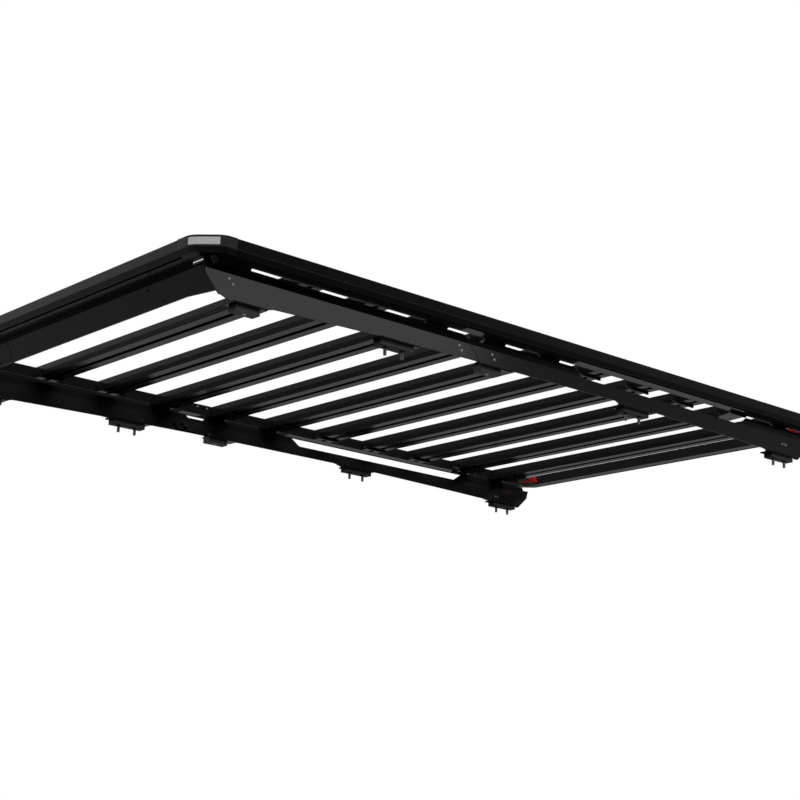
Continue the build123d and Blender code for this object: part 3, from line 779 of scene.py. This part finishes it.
@dataclass(frozen=True)
class FootFittings:
    """Threads, collars, soles and nuts of the five feet of one side.

    Attributes:
        side: Side of the feet.
        feet: Number of feet.
        studded: Numbers of the feet that have two studs.
        stud_reach: Distance of a stud from the middle of its foot.
        stud_radius: Radius of the CAD's plain stud.
        stud_length: Length of the thread under the pad.
        thread_pitch: Distance from crest to crest.
        thread_root: Height of the thread's root over the plain stud.
        thread_crest: Height of its crest over the plain stud.
        crest_shares: Start and end of the crest, as shares of the pitch.
        tip_bevel: How much the tip is narrower, and how far it stands out.
        thread_corners: Corners of the thread's rings.
        stud_collar: Radius and height of the collar round a stud.
        pad_screw: The same of the screw under a pad without studs.
        plate_nut: The same of the nuts on a foot plate.
        nut_inset: How far these nuts sit from the ends and the middle line of the pad.
        plate_mm: Thickness of a foot plate, with its clearance.
        sole_mm: Height of a sole on the side of its pad.
        sole_lip: How far it stands out round the pad.
        sole_skin: Its thickness under the pad.
    """

    side: Side
    feet: int = 5
    studded: tuple[int, ...] = (2, 4, 5)
    stud_reach: float = 27.5
    stud_radius: float = 4.0
    stud_length: float = 18.8
    thread_pitch: float = 1.25
    thread_root: float = 0.06
    thread_crest: float = 0.34
    crest_shares: Pair = (0.4, 0.55)
    tip_bevel: Pair = (0.6, 0.05)
    thread_corners: int = 16
    stud_collar: Pair = (7.0, 2.2)
    pad_screw: Pair = (5.0, 0.8)
    plate_nut: Pair = (7.5, 9.0)
    nut_inset: float = 7.0
    plate_mm: float = 4.3
    sole_mm: float = 1.4
    sole_lip: float = 0.3
    sole_skin: float = 0.04

    def thread(self, x: float, y: float, z: float) -> Turned:
        """Make the zinc thread round one stud of the CAD.

        Args:
            x: Place of the stud along the rack.
            y: Its place across the rack.
            z: Underside of the pad.

        Returns:
            The thread, with a bevelled tip.
        """
        root, crest = self.stud_radius + self.thread_root, self.stud_radius + self.thread_crest
        rise, fall = (share * self.thread_pitch for share in self.crest_shares)
        rings = [(root, 0.0)]
        while rings[-1][1] < self.stud_length - 2 * self.thread_pitch:
            start = rings[-1][1]
            rings += [(crest, start + rise), (crest, start + fall),
                      (root, start + self.thread_pitch)]
        narrower, further = self.tip_bevel
        rings += [(root, self.stud_length),
                  (self.stud_radius - narrower, self.stud_length + further)]
        return Turned((x, y, z), (0, 0, -1), tuple(rings), self.thread_corners)

    def sole(self, low: Vector, high: Vector) -> Bar:
        """Make the rubber sole of one pad.

        Args:
            low: Lowest corner of the pad.
            high: Highest corner of the pad.

        Returns:
            The sole.
        """
        lip = self.sole_lip
        return Bar((low.x - lip, low.y - lip, low.z - self.sole_skin),
                   (high.x + lip, high.y + lip, low.z + self.sole_mm))

    def build(self) -> None:
        """Add the fittings of the feet."""
        word = self.side.word
        threads, collars, soles, nuts, screws = [], [], [], [], []
        for number in range(1, self.feet + 1):
            low, high = (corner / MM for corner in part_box(f"{word}_foot_pad_{number}"))
            x, y = (low.x + high.x) / 2, (low.y + high.y) / 2
            if number in self.studded:
                soles.append(self.sole(low, high))
                for offset in (-self.stud_reach, self.stud_reach):
                    spot = (x + offset, y, low.z)
                    threads.append(self.thread(*spot))
                    collars.append(fastener(Head.COLLAR, spot, (0, 0, -1), self.stud_collar))
            else:
                screws.append(fastener(Head.DOME, (x, y, low.z), (0, 0, -1), self.pad_screw))
            nut_y = y - self.side.value * self.nut_inset
            for end in (low.x + self.nut_inset, high.x - self.nut_inset):
                spot = (end, nut_y, high.z + self.plate_mm)
                nuts.append(fastener(Head.NUT, spot, (0, 0, 1), self.plate_nut))
        join(f"{word}_stud_threads", threads + screws, ZINC)
        join(f"{word}_stud_collars", collars + nuts, BLACK_ZINC)
        join(f"{word}_foot_soles", soles, RUBBER)


@dataclass(frozen=True)
class SlatFittings:
    """Bolts that hang under the bracketed slats of one side, and screws of its profile.

    Attributes:
        side: Side of the rack.
        slats_x: Middle of each slat that has a bracket.
        shelf_z: Underside of the brackets' shelves.
        bolt_y: Distance of the bolts from the middle of the rack.
        hole_dome_y: The same of the dark domes that paint the shade of small holes in the
            shelves.
        hole_dome_behind: How far such a dome sits behind the middle of its slat.
        profile_y: Distance of the profile's inner face from the middle of the rack.
        screws: X and Z of the screws on that face.
        pin: Radius and height of a hanging bolt.
        washer: The same of its washer.
        hole_dome: The same of such a dome.
        screw: The same of a screw's head.
    """

    side: Side
    slats_x: tuple[float, ...] = (-432.1, -230.1, -28.1, 779.9, 981.9)
    shelf_z: float = 117.0
    bolt_y: float = 510.0
    hole_dome_y: float = 552.0
    hole_dome_behind: float = 9.0
    profile_y: float = 596.0
    screws: tuple[Pair, ...] = ((-314.1, 142.3), (-280.1, 142.3))
    pin: Pair = (6.2, 16.5)
    washer: Pair = (9.0, 1.4)
    hole_dome: Pair = (3.2, 0.9)
    screw: Pair = (3.2, 1.4)

    def build(self) -> None:
        """Add the hanging bolts, the dark domes of painted hole shade and the screws."""
        word, sign = self.side.word, self.side.value
        down = (0, 0, -1)
        pins, washers = [], []
        for x in self.slats_x:
            spot = (x, sign * self.bolt_y, self.shelf_z)
            pins.append(fastener(Head.PIN, spot, down, self.pin))
            washers.append(fastener(Head.WASHER, spot, down, self.washer))
            # A dark dome where a small hole shows in the shelf: painted shade of the hole.
            spot = (x + self.hole_dome_behind, sign * self.hole_dome_y, self.shelf_z)
            washers.append(fastener(Head.DOME, spot, down, self.hole_dome))
        small = [fastener(Head.DOME, (x, sign * self.profile_y, z), (0, -sign, 0), self.screw)
                 for x, z in self.screws]
        join(f"{word}_profile_screws", small, ZINC)
        join(f"{word}_slat_bolts", pins + washers, BLACK_ZINC)


@dataclass(frozen=True)
class CornerFittings:
    """Small clip, and dark discs that paint the shade of small holes, in the underside of one
    front corner.

    Attributes:
        side: Side of the corner.
        clip: Place of the clip on the right side.
        clip_way: Direction that it faces on the right side.
        clip_size: Its radius to the corners, and its thickness.
        screws: X and distance from the middle of each dark disc, and its radius.
        hole_disc_height: How far the discs stand out.
    """

    side: Side
    clip: Point = (-1119.0, 606.0, 115.0)
    clip_way: Point = (0.12, 1.0, -0.1)
    clip_size: Pair = (13.5, 2.4)
    screws: tuple[Point, ...] = ((-1152.1, 591.0, 4.0), (-1132.1, 589.0, 3.0),
                                 (-1120.7, 590.4, 4.0), (-1119.8, 602.0, 2.4))
    hole_disc_height: float = 0.3

    def build(self) -> None:
        """Add the clip and the dark discs of painted hole shade."""
        word, sign = self.side.word, self.side.value
        spot, way = ((x, sign * y, z) for x, y, z in (self.clip, self.clip_way))
        # The clip takes the castings' coat, painted lighter for their lighter shading.
        join(f"{word}_corner_clip", [fastener(Head.CLIP, spot, way, self.clip_size)], CAST_PAINTED_LIGHTER)
        # Dark discs where small holes show: painted shade of the holes.
        hole_shade_discs = [fastener(Head.WASHER, (x, sign * y, TRAY_Z), (0, 0, -1),
                         (radius, self.hole_disc_height)) for x, y, radius in self.screws]
        join(f"{word}_corner_screws", hole_shade_discs, BLACK_ZINC)


@dataclass(frozen=True)
class DeflectorFittings:
    """Bolts on the leaning face of the wind deflector.

    Attributes:
        spots: Places of the bolts at its right end.
        way: Direction square to the face.
        bolt: Radius and height of a head.
    """

    spots: tuple[Point, ...] = ((-1115.1, 347.0, 99.3), (-1091.1, 379.0, 73.3))
    way: Point = (-40.3, 0.0, -37.0)
    bolt: Pair = (4.5, 2.0)

    def build(self) -> None:
        """Add a pair of bolts at each end."""
        heads = [fastener(Head.DOME, (x, side.value * y, z), self.way, self.bolt)
                 for side in Side for x, y, z in self.spots]
        join("deflector_bolts", heads, BLACK_ZINC)


def dress_frame(nodes: dict[str, bpy.types.Object]) -> None:
    """Give every CAD node its finish by the record's material slot, and the castings the coat
    painted lighter for their lighter shading.

    Args:
        nodes: CAD nodes by name.
    """
    finishes = {"tray_black": COAT, "slat_black": COAT, "sheet_black": SHEET,
                "pad_rubber": PLASTIC, "bare_plate": PLATE, "tab_red": RED}
    for part in frame["record"]["subparts"]:
        node = nodes[part["node"]]
        # The castings take the coat painted lighter, for the lighter shading that they catch.
        finish = CAST_PAINTED_LIGHTER if part["node"].endswith("_corner") else finishes[part["material_slot"]]
        node.data.materials.clear()
        node.data.materials.append(finish.shared())
        LOG.info("%s: %s", part["node"], finish.name)


def main() -> None:
    """Build the scene."""
    logging.basicConfig(level=logging.INFO)
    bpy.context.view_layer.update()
    Camera().build()
    Studio().build()
    dress_frame(frame["nodes"])
    for side in Side:
        RailFittings(side).build()
        FootFittings(side).build()
        SlatFittings(side).build()
        CornerFittings(side).build()
    DeflectorFittings().build()


if __name__ == "__main__":
    main()
